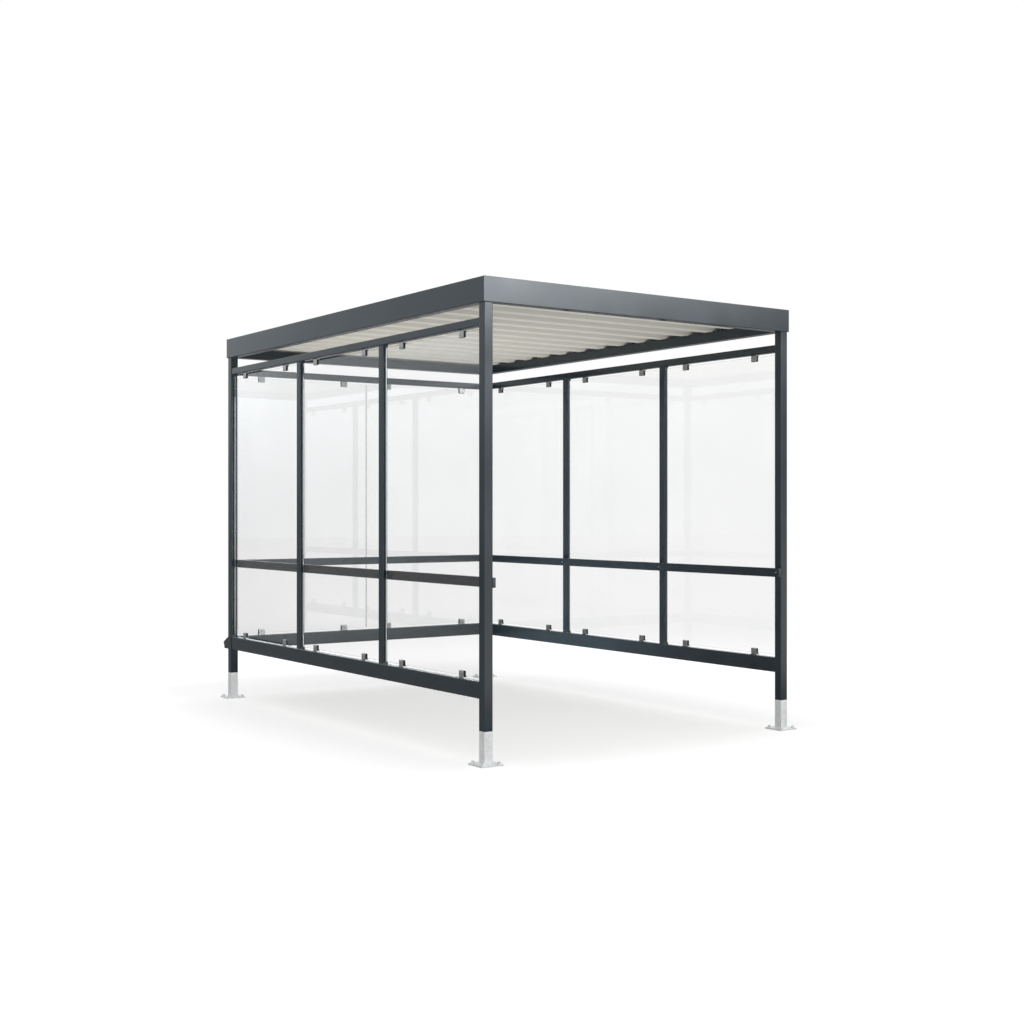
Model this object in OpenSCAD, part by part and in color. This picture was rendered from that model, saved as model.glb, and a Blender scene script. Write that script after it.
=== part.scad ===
// Shopping cart shelter: four posts on buried feet, glazed side and rear
// walls, an open front, and a flat ribbed roof behind a plain fascia.
// The open front faces -Y, the rear wall +Y. Lengths are in millimetres.
// Heights named *_z below "Walls" are counted from the ground.

/* [Overall size] */
// Width over the outer faces of the posts
shelter_w = 2470; // [1800:10:3600]
// Depth over the outer faces of the posts
shelter_d = 3700; // [2600:10:5600]
// Height from the ground to the top of the posts
post_h = 2500; // [2100:10:3200]

/* [Posts and feet] */
// Side of the square posts
post_size = 60; // [56:1:90]
// Wall of the posts
post_wall = 3; // [2:0.5:5]
// Outer corner radius of the tubes
tube_r = 5; // [1:0.5:8]
// How far the feet reach below the ground
foot_depth = 200; // [120:10:400]
// Side of the square base plates
plate_size = 150; // [130:5:250]
// Thickness of the base plates
plate_t = 10; // [6:1:20]
// Anchor holes from centre to centre, both ways
anchor_pitch = 110; // [104:1:112]
// Diameter of the anchor holes
anchor_d = 14; // [10:1:18]

/* [Walls] */
// Thickness of the top and bottom rails across the wall
rail_t = 50; // [36:1:56]
// Wall of the rail and mullion tubes
rail_wall = 3; // [2:0.5:4]
// Height of the top rails
top_rail_h = 50; // [40:5:100]
// Gap between the top rails and the roof beams
top_gap = 85; // [40:5:200]
// Height of the bottom rails
bottom_rail_h = 100; // [60:5:200]
// Underside of the bottom rails
bottom_rail_z = 185; // [100:5:300]
// Width of the mullions along the wall
mullion_w = 60; // [40:5:80]
// Thickness of the mullions across the wall
mullion_t = 40; // [30:1:50]
// Height of the bumper rails
bumper_h = 60; // [40:5:100]
// Thickness of the bumper rails
bumper_t = 20; // [15:1:30]
// Wall of the bumper rails
bumper_wall = 2; // [1.5:0.5:3]
// Outer corner radius of the bumper rails
bumper_r = 3; // [1:0.5:6]
// Underside of the bumper rails
bumper_z = 835; // [500:5:1100]
// Thickness of the caps on the bumper rails' ends
cap_t = 3; // [2:0.5:6]
// Clearance between the side bumper rails' rear ends and the rear panes
bumper_clear = 6; // [3:1:12]

/* [Glazing] */
// Thickness of the glass
glass_t = 8; // [6:1:12]
// Gap between a pane and the frame round it
glass_gap = 15; // [10:1:20]
// Gap between the two rear panes
pane_joint = 10; // [6:1:20]
// Length of a glass clip along the wall
clip_w = 50; // [30:1:60]
// Thickness of a glass clip across the wall
clip_t = 24; // [20:1:30]
// How far a glass clip stands off its rail
clip_h = 46; // [36:1:60]
// From the end of a pane to the middle of its clip
clip_inset = 205; // [120:5:300]
// Length of a clip's foot along the wall
clip_foot_w = 64; // [60:1:80]
// Thickness of a clip's foot
clip_foot_t = 4; // [2:1:6]
// Thickness of the rubber between clip and glass
rubber_t = 2; // [1:0.5:3]

/* [Roof] */
// Height of the roof beams
beam_h = 70; // [50:5:100]
// Wall of the roof beams
beam_wall = 3; // [2:0.5:5]
// Thickness of the roof sheet
sheet_t = 1; // [0.6:0.1:2]
// Distance between the ribs of the roof sheet
rib_pitch = 250; // [220:5:350]
// Height of the ribs
rib_h = 38; // [20:1:45]
// Width of the ribs' flat crests
crest_w = 85; // [40:5:100]
// Width of each sloping side of a rib
slope_w = 40; // [20:5:55]
// Height of the fascia
fascia_h = 150; // [130:5:250]
// Thickness of the fascia sheet
fascia_t = 3; // [1.5:0.5:4]
// Gap between the fascia sheet and the beams behind it
fascia_gap = 5; // [3:1:15]
// Height of the fascia's bottom hem, which bears on the beams
hem_h = 14; // [12:1:25]
// Width of the fascia's top lip
lip_w = 30; // [15:5:60]

/* [Rainwater spouts] */
// Width of a spout
spout_w = 50; // [40:1:52]
// How far a spout stands out from its post
spout_reach = 100; // [85:5:160]
// Height of a spout
spout_h = 100; // [80:5:160]
// Sheet thickness of the spouts
spout_t = 3; // [2:0.5:4]
// How far a spout's top falls towards its nose
spout_fall = 50; // [30:5:60]
// How far a spout's nose is set back at its foot
spout_setback = 20; // [10:5:30]

/* [Hidden] */

paint = "#50585c";
zinc = "#c4c8ca";
cream = "#c8c5bc";
clear = "#dfe8ea";
metal = "#a9adb0";
black = "#1d1e1f";

// The two sides of the shelter, seen from the open front
LEFT = -1;
RIGHT = 1;
// The two ends of a wall's height
TOP = 1;
BOTTOM = -1;

arc_fn = 32;
// Extra length of a cut, so that it passes through a face
cut = 1;

// Reach of the widest pieces beyond the posts
plate_over = (plate_size - post_size) / 2;
fascia_over = fascia_gap + fascia_t;
front_over = max(plate_over, fascia_over);
rear_over = max(plate_over, fascia_over, spout_reach);

// Outer faces of the posts, with the origin in the middle of the whole shelter
half_w = shelter_w / 2;
front_y = -(shelter_d + rear_over - front_over) / 2;
rear_y = front_y + shelter_d;
mid_y = (front_y + rear_y) / 2;

// Inner faces of the posts
inner_x = half_w - post_size;
bay_front_y = front_y + post_size;
bay_rear_y = rear_y - post_size;

// Heights above the undersides of the base plates
ground_z = foot_depth;
roof_z = ground_z + post_h;
top_rail_z = roof_z - top_gap - top_rail_h;
sill_z = ground_z + bottom_rail_z + bottom_rail_h;
glass_z = sill_z + glass_gap;
glass_h = top_rail_z - glass_gap - glass_z;

// Middle planes of the walls
side_mid_x = half_w - post_size / 2;
rear_mid_y = rear_y - post_size / 2;

// The side bumper rails lie against the rear posts and stop before the rear panes
bumper_l = rear_mid_y - glass_t / 2 - bumper_clear - front_y;

// Three equal bays between the posts and mullions of a side wall
bay_l = (shelter_d - 2 * post_size - 2 * mullion_w) / 3;
bay_step = bay_l + mullion_w;
pane_l = bay_l - 2 * glass_gap;
rear_pane_l = inner_x - glass_gap - pane_joint / 2;

// The slot of a clip holds the glass and the rubber on both sides of it
slot_w = glass_t + 2 * rubber_t;
slot_z = glass_gap - rubber_t;

// Ribs on each side of the middle rib, and the shift of the sheet's upper bends
rib_count = floor((shelter_d / 2 - crest_w / 2 - slope_w) / rib_pitch);
rib_half = crest_w / 2 + slope_w;
bend_shift = sheet_t * tan(atan2(rib_h, slope_w) / 2);

// ---- shared shapes ----

// Rectangle with round corners, its low corner at the origin
module round_rect(w, h, r) {
    translate([r, 0]) square([w - 2 * r, h]);
    translate([0, r]) square([w, h - 2 * r]);
    for (x = [r, w - r], y = [r, h - r])
        translate([x, y]) circle(r, $fn = arc_fn);
}

// Section of a tube, with the wall the same all round
module tube_section(w, h, wall, r) {
    inner_r = max(r - wall, wall / 4);
    difference() {
        round_rect(w, h, r);
        translate([wall, wall]) round_rect(w - 2 * wall, h - 2 * wall, inner_r);
    }
}

// Runs its children, a section drawn in X and Z, from y along +Y
module run_y(y, length) {
    translate([0, y + length, 0]) rotate([90, 0, 0]) linear_extrude(length) children();
}

// Runs its children, a section drawn in Y and Z, from x along +X
module run_x(x, length) {
    translate([x, 0, 0]) rotate([90, 0, 90]) linear_extrude(length) children();
}

// Draws its children as given on the right, mirrored on the left
module on_side(side) {
    mirror([side == LEFT ? 1 : 0, 0, 0]) children();
}

// ---- posts and feet ----

module post(side, y) {
    color(paint) on_side(side)
        translate([inner_x, y, ground_z])
            linear_extrude(post_h) tube_section(post_size, post_size, post_wall, tube_r);
}

// A stub under the post, welded to a base plate with four anchor holes
module foot(side, y) {
    color(zinc) on_side(side) {
        translate([inner_x, y, plate_t])
            linear_extrude(foot_depth - plate_t)
                tube_section(post_size, post_size, post_wall, tube_r);
        difference() {
            translate([inner_x - plate_over, y - plate_over, 0])
                cube([plate_size, plate_size, plate_t]);
            for (dx = [-1, 1], dy = [-1, 1])
                translate([side_mid_x + dx * anchor_pitch / 2,
                           y + post_size / 2 + dy * anchor_pitch / 2, -cut])
                    cylinder(d = anchor_d, h = plate_t + 2 * cut, $fn = arc_fn);
        }
    }
}

// ---- wall frames ----

module side_rail(side, z, h) {
    color(paint) on_side(side)
        run_y(bay_front_y, bay_rear_y - bay_front_y)
            translate([side_mid_x - rail_t / 2, z]) tube_section(rail_t, h, rail_wall, tube_r);
}

module rear_rail(z, h) {
    color(paint)
        run_x(-inner_x, 2 * inner_x)
            translate([rear_mid_y - rail_t / 2, z]) tube_section(rail_t, h, rail_wall, tube_r);
}

// Mullion number 1 stands nearer the open front, number 2 nearer the rear
module side_mullion(side, number) {
    color(paint) on_side(side)
        translate([side_mid_x - mullion_t / 2, bay_front_y + number * bay_step - mullion_w, sill_z])
            linear_extrude(top_rail_z - sill_z)
                tube_section(mullion_t, mullion_w, rail_wall, tube_r);
}

// ---- bumper rails, on the inner faces of the posts ----

module bumper_section(across) {
    translate([across, ground_z + bumper_z])
        tube_section(bumper_t, bumper_h, bumper_wall, bumper_r);
}

module side_bumper_rail(side) {
    color(paint) on_side(side)
        run_y(front_y + cap_t, bumper_l - 2 * cap_t) bumper_section(inner_x - bumper_t);
}

module rear_bumper_rail() {
    reach = inner_x - bumper_t;
    color(paint) run_x(-reach, 2 * reach) bumper_section(bay_rear_y - bumper_t);
}

module bumper_rail_caps() {
    color(black)
        for (side = [LEFT, RIGHT], y = [front_y, front_y + bumper_l - cap_t])
            on_side(side) run_y(y, cap_t)
                translate([inner_x - bumper_t, ground_z + bumper_z])
                    round_rect(bumper_t, bumper_h, bumper_r);
}

// ---- glazing ----

// Start of side pane 0, 1 or 2, counted from the open front
function pane_y(number) = bay_front_y + glass_gap + number * bay_step;

module side_glass(side, number) {
    color(clear, 0.35) on_side(side)
        translate([side_mid_x - glass_t / 2, pane_y(number), glass_z])
            cube([glass_t, pane_l, glass_h]);
}

module rear_glass(side) {
    color(clear, 0.35) on_side(side)
        translate([pane_joint / 2, rear_mid_y - glass_t / 2, glass_z])
            cube([rear_pane_l, glass_t, glass_h]);
}

// Block centred on its length and width, standing on the plane of the rail
module block(length, width, low, high) {
    translate([-length / 2, -width / 2, low]) cube([length, width, high - low]);
}

// One clip, its length along X, standing on its rail at the origin
module glass_clip() {
    difference() {
        union() {
            block(clip_foot_w, clip_t, 0, clip_foot_t);
            block(clip_w, clip_t, 0, clip_h);
        }
        block(clip_w + 2 * cut, slot_w, slot_z, clip_h + cut);
    }
}

// The U of rubber that lines a clip's slot round the glass
module clip_rubber() {
    difference() {
        block(clip_w, slot_w, slot_z, clip_h);
        block(clip_w + 2 * cut, glass_t, glass_gap, clip_h + cut);
    }
}

// Draws its children on the top or bottom rail of a wall
module on_rail(end) {
    translate([0, 0, end == TOP ? top_rail_z : sill_z])
        mirror([0, 0, end == TOP ? 1 : 0]) children();
}

// Draws its children at each of the clip places of a side wall
module at_side_clips(side) {
    for (number = [0:2], offset = [clip_inset, pane_l - clip_inset], end = [TOP, BOTTOM])
        on_side(side) translate([side_mid_x, pane_y(number) + offset, 0])
            on_rail(end) rotate(90) children();
}

// Draws its children at each of the clip places of the rear wall
module at_rear_clips() {
    for (side = [LEFT, RIGHT], offset = [clip_inset, rear_pane_l - clip_inset], end = [TOP, BOTTOM])
        on_side(side) translate([pane_joint / 2 + offset, rear_mid_y, 0])
            on_rail(end) children();
}

module side_glass_clips(side) {
    color(metal) at_side_clips(side) glass_clip();
}

module rear_glass_clips() {
    color(metal) at_rear_clips() glass_clip();
}

module clip_rubbers() {
    color(black) {
        at_side_clips(LEFT) clip_rubber();
        at_side_clips(RIGHT) clip_rubber();
        at_rear_clips() clip_rubber();
    }
}

// ---- roof ----

module roof_beam_side(side) {
    color(paint) on_side(side)
        run_y(front_y, shelter_d)
            translate([inner_x, roof_z]) tube_section(post_size, beam_h, beam_wall, tube_r);
}

module roof_beam_across(y) {
    color(paint)
        run_x(-inner_x, 2 * inner_x)
            translate([y, roof_z]) tube_section(post_size, beam_h, beam_wall, tube_r);
}

// Bends of the sheet from front to rear, shifted and lifted for either face
function rib_bends(shift, lift) = [
    for (rib = [-rib_count:rib_count])
        let (y = mid_y + rib * rib_pitch)
            each [
                [y - rib_half - shift, lift],
                [y - crest_w / 2 - shift, rib_h + lift],
                [y + crest_w / 2 + shift, rib_h + lift],
                [y + rib_half + shift, lift]
            ]
];

function reversed(points) = [for (i = [len(points) - 1:-1:0]) points[i]];

// Ribbed sheet lying on the beams, its ribs across the shelter
module roof_sheet() {
    lower = concat([[front_y, 0]], rib_bends(0, 0), [[rear_y, 0]]);
    upper = concat([[front_y, sheet_t]], rib_bends(bend_shift, sheet_t), [[rear_y, sheet_t]]);
    color(cream)
        run_x(-half_w, shelter_w)
            translate([0, roof_z + beam_h]) polygon(concat(lower, reversed(upper)));
}

// Folded fascia: the skin, a bottom hem on the beam and a lip over the top.
// It is drawn for a wall face at 0, with the outside towards +X.
module fascia_section() {
    polygon([
        [0, 0], [fascia_over, 0], [fascia_over, fascia_h], [fascia_over - lip_w, fascia_h],
        [fascia_over - lip_w, fascia_h - fascia_t], [fascia_gap, fascia_h - fascia_t],
        [fascia_gap, hem_h], [0, hem_h]
    ]);
}

// Length of fascia along +X with its outside towards -Y, mitred at both ends
module fascia_run(length) {
    outer = length / 2 + fascia_over;
    inner = outer - lip_w - cut;
    intersection() {
        run_x(-outer, 2 * outer)
            mirror([1, 0]) fascia_section();
        translate([0, -fascia_over, -cut])
            linear_extrude(fascia_h + 2 * cut)
                polygon([[-outer, 0], [outer, 0], [inner, lip_w + cut], [-inner, lip_w + cut]]);
    }
}

module fascia_side(side) {
    color(paint) on_side(side)
        translate([half_w, mid_y, roof_z]) rotate(90) fascia_run(shelter_d);
}

module fascia_front() {
    color(paint) translate([0, front_y, roof_z]) fascia_run(shelter_w);
}

module fascia_rear() {
    color(paint) translate([0, rear_y, roof_z]) rotate(180) fascia_run(shelter_w);
}

// ---- rainwater spouts, on the rear faces of the rear posts ----

// Side view of the hood, with the post's face at 0 and the outside towards +X.
// The inset moves the top and the nose in by a sheet's thickness.
function hood_outline(inset, back, low) =
    let (
        fall = spout_fall / spout_reach,
        lean = spout_setback / (spout_h - spout_fall),
        top = spout_h - inset * sqrt(1 + fall * fall),
        foot = spout_reach - spout_setback - inset * sqrt(1 + lean * lean),
        nose_z = (top - fall * foot) / (1 + fall * lean)
    ) [[back, low], [foot + lean * low, low], [foot + lean * nose_z, nose_z], [back, top - fall * back]];

module rain_spout(side) {
    color(paint) on_side(side)
        translate([side_mid_x - spout_w / 2, rear_y, ground_z + bottom_rail_z])
            difference() {
                run_x(0, spout_w) polygon(hood_outline(0, 0, 0));
                run_x(spout_t, spout_w - 2 * spout_t) polygon(hood_outline(spout_t, spout_t, -cut));
            }
}

post(LEFT, front_y);  // post_front_left
post(RIGHT, front_y);  // post_front_right
post(LEFT, bay_rear_y);  // post_rear_left
post(RIGHT, bay_rear_y);  // post_rear_right
foot(LEFT, front_y);  // foot_front_left
foot(RIGHT, front_y);  // foot_front_right
foot(LEFT, bay_rear_y);  // foot_rear_left
foot(RIGHT, bay_rear_y);  // foot_rear_right
side_rail(LEFT, top_rail_z, top_rail_h);  // left_top_rail
side_rail(LEFT, sill_z - bottom_rail_h, bottom_rail_h);  // left_bottom_rail
side_bumper_rail(LEFT);  // left_bumper_rail
side_mullion(LEFT, 1);  // left_mullion_front
side_mullion(LEFT, 2);  // left_mullion_rear
side_glass(LEFT, 0);  // left_glass_front
side_glass(LEFT, 1);  // left_glass_middle
side_glass(LEFT, 2);  // left_glass_rear
side_glass_clips(LEFT);  // left_glass_clips
side_rail(RIGHT, top_rail_z, top_rail_h);  // right_top_rail
side_rail(RIGHT, sill_z - bottom_rail_h, bottom_rail_h);  // right_bottom_rail
side_bumper_rail(RIGHT);  // right_bumper_rail
side_mullion(RIGHT, 1);  // right_mullion_front
side_mullion(RIGHT, 2);  // right_mullion_rear
side_glass(RIGHT, 0);  // right_glass_front
side_glass(RIGHT, 1);  // right_glass_middle
side_glass(RIGHT, 2);  // right_glass_rear
side_glass_clips(RIGHT);  // right_glass_clips
rear_rail(top_rail_z, top_rail_h);  // rear_top_rail
rear_rail(sill_z - bottom_rail_h, bottom_rail_h);  // rear_bottom_rail
rear_bumper_rail();
rear_glass(LEFT);  // rear_glass_left
rear_glass(RIGHT);  // rear_glass_right
rear_glass_clips();
clip_rubbers();
bumper_rail_caps();
roof_beam_side(LEFT);  // roof_beam_left
roof_beam_side(RIGHT);  // roof_beam_right
roof_beam_across(front_y);  // roof_beam_front
roof_beam_across(bay_rear_y);  // roof_beam_rear
roof_sheet();
fascia_side(LEFT);  // fascia_left
fascia_side(RIGHT);  // fascia_right
fascia_front();
fascia_rear();
rain_spout(LEFT);  // rain_spout_left
rain_spout(RIGHT);  // rain_spout_right
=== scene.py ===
"""Looks of the shopping cart shelter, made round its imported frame.

Lengths are in metres, in the frame's own axes: the open front faces -Y, the
rear glass +Y, and the base plates' undersides lie at height 0. Every piece is
built by a sub-assembly class and dressed in a procedural finish.
"""

import logging
import math
from dataclasses import dataclass
from enum import Enum
from functools import cache
from typing import Any, Sequence

import bmesh
import bpy
import numpy as np
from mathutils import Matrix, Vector


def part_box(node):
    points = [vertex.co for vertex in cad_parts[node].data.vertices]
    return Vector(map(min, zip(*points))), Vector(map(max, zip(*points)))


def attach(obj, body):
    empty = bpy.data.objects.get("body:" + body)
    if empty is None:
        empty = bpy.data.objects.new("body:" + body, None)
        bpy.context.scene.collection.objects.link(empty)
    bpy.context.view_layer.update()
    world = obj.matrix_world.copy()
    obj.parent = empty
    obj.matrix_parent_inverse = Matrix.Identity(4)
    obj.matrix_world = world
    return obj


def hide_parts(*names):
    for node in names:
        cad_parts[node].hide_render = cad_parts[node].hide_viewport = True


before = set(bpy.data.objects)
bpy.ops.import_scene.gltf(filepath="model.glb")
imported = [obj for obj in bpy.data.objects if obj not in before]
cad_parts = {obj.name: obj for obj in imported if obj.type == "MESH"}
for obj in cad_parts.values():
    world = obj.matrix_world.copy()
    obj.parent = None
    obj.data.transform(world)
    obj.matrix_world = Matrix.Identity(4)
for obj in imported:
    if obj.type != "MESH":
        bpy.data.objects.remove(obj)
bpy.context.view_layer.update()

LOG = logging.getLogger("cart_shelter")
BODY = "root"
MM = 0.001
BOTH = (-1, 1)
GUARD = 1.3  # reach of a rounded corner's guard points, as a share of the curve's
ENDS = ("front", "rear")
HANDS = ("left", "right")
CORNERS = [f"{end}_{hand}" for end in ENDS for hand in HANDS]

Array = np.ndarray
Colour = tuple[float, float, float]
Range = tuple[float, float]
Point = tuple[float, float, float]
Outline = Sequence[tuple[float, float]]
Socket = bpy.types.NodeSocket


class Side(Enum):
    """A side of the shelter, with its outward direction."""

    LEFT = (-1.0, 0.0)
    RIGHT = (1.0, 0.0)
    FRONT = (0.0, -1.0)
    REAR = (0.0, 1.0)


# ---- surfaces ----


@dataclass
class Shell:
    """A surface of points and faces.

    points is (N, 3); faces is a list of arrays, each (F, corners) of point
    numbers; marks holds one number per point for the materials, or is None.
    """

    points: Array
    faces: list[Array]
    marks: Array | None = None


def grid_faces(rows: int, columns: int) -> Array:
    """Quads of a grid whose columns close on themselves.

    Formula: point (i, j) is number i * columns + j, and each quad joins rows
    i and i + 1 between columns j and j + 1, counted round.

    Args:
        rows: number of rows of points.
        columns: number of points in a row.

    Returns:
        Array (quads, 4) of point numbers.
    """
    i, j = np.meshgrid(np.arange(rows - 1), np.arange(columns), indexing="ij")
    near, far = i * columns, (i + 1) * columns
    k = (j + 1) % columns
    return np.stack([near + j, near + k, far + k, far + j], -1).reshape(-1, 4)


def skin(rings: Array, closed: bool = False) -> Shell:
    """A tube's surface through rings of points.

    Args:
        rings: array (stations, ring points, 3).
        closed: whether the last ring joins the first, instead of two caps.

    Returns:
        The closed surface.
    """
    stations, count, _ = rings.shape
    points = rings.reshape(-1, 3)
    if closed:
        return Shell(points, [grid_faces(stations + 1, count) % (stations * count)])
    caps = np.stack([np.arange(count)[::-1], (stations - 1) * count + np.arange(count)])
    return Shell(points, [grid_faces(stations, count), caps])


def run_along_x(outlines: Sequence[Array], places: Sequence[float]) -> Shell:
    """Runs outlines in Y and Z along X: ring k is outline k at x = places[k]."""
    rings = [np.column_stack([np.full(len(o), x), o]) for o, x in zip(outlines, places)]
    return skin(np.stack(rings))


def lathe(profile: Outline, sides: int) -> Shell:
    """Turns a profile of (radius, height) pairs round the Z axis.

    Formula: point (i, a) is (r_i cos a, r_i sin a, h_i), with a spread evenly
    round the circle; the first and last rings are closed by flat caps.

    Args:
        profile: the (radius, height) pairs from one cap to the other.
        sides: number of points round the circle.

    Returns:
        The closed surface.
    """
    pairs = np.asarray(profile, float)
    angle = np.arange(sides) * 2 * math.pi / sides
    flat = pairs[:, 0, None, None] * np.stack([np.cos(angle), np.sin(angle)], -1)
    height = np.broadcast_to(pairs[:, 1, None, None], flat.shape[:2] + (1,))
    return skin(np.concatenate([flat, height], -1))


def chamfered_box(low: Sequence[float], high: Sequence[float], chamfer: float) -> Shell:
    """A box with its edges and corners cut off at 45 degrees.

    Formula: each of the eight corners has three points; point a of a corner
    keeps the corner's place along axis a and lies a chamfer inside along the
    other two. marks holds the axis number of each point.

    Args:
        low: lowest corner.
        high: highest corner.
        chamfer: width of the cut along each axis.

    Returns:
        The closed surface of 24 points and 26 faces.
    """
    low, high = np.asarray(low, float), np.asarray(high, float)
    signs = np.array([[x, y, z] for x in BOTH for y in BOTH for z in BOTH], float)
    inset = chamfer * (1 - np.eye(3))
    points = (low + high) / 2 + signs[:, None] * ((high - low) / 2 - inset[None])
    corners = np.arange(8)[:, None] * 3 + np.arange(3)
    quads = []
    for axis, bit in enumerate((4, 2, 1)):
        near, far = [b for b in (4, 2, 1) if b != bit]
        quads += [[corners[base + k, axis] for k in (0, near, near + far, far)] for base in (0, bit)]
        p, q = [a for a in range(3) if a != axis]
        for step in (0, near, far, near + far):
            a, b = corners[step], corners[step + bit]
            quads.append([a[p], a[q], b[q], b[p]])
    return Shell(points.reshape(-1, 3), [np.array(quads), corners], np.tile(np.arange(3.0), 8))


def rectangle(a: float, b: float) -> Outline:
    """Corners of a rectangle round the origin, with half sides a and b."""
    return [(-a, -b), (a, -b), (a, b), (-a, b)]


def rounded(outline: Outline, reach: Sequence[float] | float, steps: int) -> Array:
    """Rounds the corners of a closed outline.

    Formula: each corner P becomes a quadratic curve from A, which lies reach
    before it, to B, which lies reach after it: (1-s)^2 A + 2s(1-s) P + s^2 B.
    One guard point on each side, GUARD times as far off as A and B, keeps the
    flats beside the curve flat when they are shaded smoothly.

    Args:
        outline: the corners in order.
        reach: distance of A and B from each corner.
        steps: points on each curve.

    Returns:
        Array (corners * (steps + 2), 2).
    """
    p = np.asarray(outline, float)
    r = np.broadcast_to(np.asarray(reach, float), (len(p),))[:, None]
    back, ahead = np.roll(p, 1, 0) - p, np.roll(p, -1, 0) - p
    back = back / np.linalg.norm(back, axis=1, keepdims=True) * r
    ahead = ahead / np.linalg.norm(ahead, axis=1, keepdims=True) * r
    s = np.linspace(0, 1, steps)[None, :, None]
    a, b = (p + back)[:, None], (p + ahead)[:, None]
    curve = (1 - s) ** 2 * a + 2 * s * (1 - s) * p[:, None] + s**2 * b
    first, last = (p + GUARD * back)[:, None], (p + GUARD * ahead)[:, None]
    return np.concatenate([first, curve, last], 1).reshape(-1, 2)


def rounded_line(points: Outline, reach: float, steps: int) -> Array:
    """Rounds the inner corners of an open line, as rounded does for an outline.

    Args:
        points: the line's corners; the first and last stay sharp.
        reach: distance of each curve's ends from its corner.
        steps: points on each curve.

    Returns:
        Array (N, 2) with the line's two ends.
    """
    curve = rounded(points, reach, steps)[steps + 2 : -steps - 2]
    ends = np.asarray(points, float)
    return np.vstack([ends[:1], curve, ends[-1:]])


def offset_line(line: Array, distance: float) -> Array:
    """Moves each point of an open line sideways along its left normal.

    Args:
        line: array (N, 2).
        distance: how far each point moves.

    Returns:
        Array (N, 2).
    """
    along = np.gradient(line, axis=0)
    along /= np.linalg.norm(along, axis=1, keepdims=True)
    return line + distance * np.stack([-along[:, 1], along[:, 0]], -1)


def copies(shell: Shell, places: Sequence[Any], turns: Sequence[Array] | None = None) -> Shell:
    """Repeats a surface at each place, turned first.

    Formula: point p of copy k is turns[k] p + places[k].

    Args:
        shell: the surface to repeat.
        places: K places.
        turns: K rotations (3, 3), or None for no turn.

    Returns:
        One joined surface.
    """
    at = np.asarray(places, float)
    if turns is None:
        turns = np.broadcast_to(np.eye(3), (len(at), 3, 3))
    points = np.einsum("kij,nj->kni", np.asarray(turns), shell.points) + at[:, None]
    shift = np.arange(len(at))[:, None, None] * len(shell.points)
    faces = [(f[None] + shift).reshape(-1, f.shape[1]) for f in shell.faces]
    return Shell(points.reshape(-1, 3), faces)


def joined(shells: Sequence[Shell]) -> Shell:
    """Puts surfaces together, without their marks.

    Args:
        shells: the surfaces.

    Returns:
        One surface that holds them all.
    """
    starts = np.cumsum([0] + [len(s.points) for s in shells])
    faces = [f + start for s, start in zip(shells, starts) for f in s.faces]
    return Shell(np.vstack([s.points for s in shells]), faces)


def facing(direction: Sequence[float]) -> Array:
    """Turns +Z to a direction along one of the axes.

    Args:
        direction: unit vector along an axis, with its sign.

    Returns:
        The rotation (3, 3).
    """
    z = np.asarray(direction, float)
    x = np.array([0.0, 0.0, 1.0]) if abs(z[2]) < 0.5 else np.array([1.0, 0.0, 0.0])
    return np.stack([x, np.cross(z, x), z], -1)


def make_piece(
    name: str,
    shell: Shell,
    finish: "Finish",
    *stands_for: str,
    smooth_deg: float = 35.0,
) -> None:
    """Makes a finished piece of the shelter, riding on its body.

    Args:
        name: name of the piece.
        shell: its surface, in place.
        finish: the finish it wears.
        stands_for: CAD nodes it replaces.
        smooth_deg: faces that meet at less than this shade smoothly.
    """
    mesh = bpy.data.meshes.new(name)
    faces = [face for block in shell.faces for face in block.tolist()]
    mesh.from_pydata(shell.points.tolist(), [], faces)
    if shell.marks is not None:
        mark = mesh.attributes.new("mark", "FLOAT", "POINT")
        mark.data.foreach_set("value", shell.marks.astype(np.float32))
    work = bmesh.new()
    work.from_mesh(mesh)
    bmesh.ops.remove_doubles(work, verts=work.verts, dist=1e-6)
    bmesh.ops.recalc_face_normals(work, faces=work.faces)
    work.to_mesh(mesh)
    work.free()
    mesh.polygons.foreach_set("use_smooth", np.ones(len(mesh.polygons), bool))
    mesh.set_sharp_from_angle(angle=math.radians(smooth_deg))
    piece = bpy.data.objects.new(name, mesh)
    bpy.context.scene.collection.objects.link(piece)
    mesh.materials.append(finish.material())
    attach(piece, BODY)
    if stands_for:
        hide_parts(*stands_for)
    LOG.info("piece %s: %d faces", name, len(mesh.polygons))


def dress(nodes: Sequence[str], finish: "Finish") -> None:
    """Gives CAD nodes a finish.

    Args:
        nodes: names of the CAD nodes.
        finish: the finish they wear.
    """
    for node in nodes:
        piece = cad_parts[node]
        piece.data.materials.clear()
        piece.data.materials.append(finish.material())
        LOG.info("node %s wears %s", node, finish.name)


# ---- node trees ----


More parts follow.
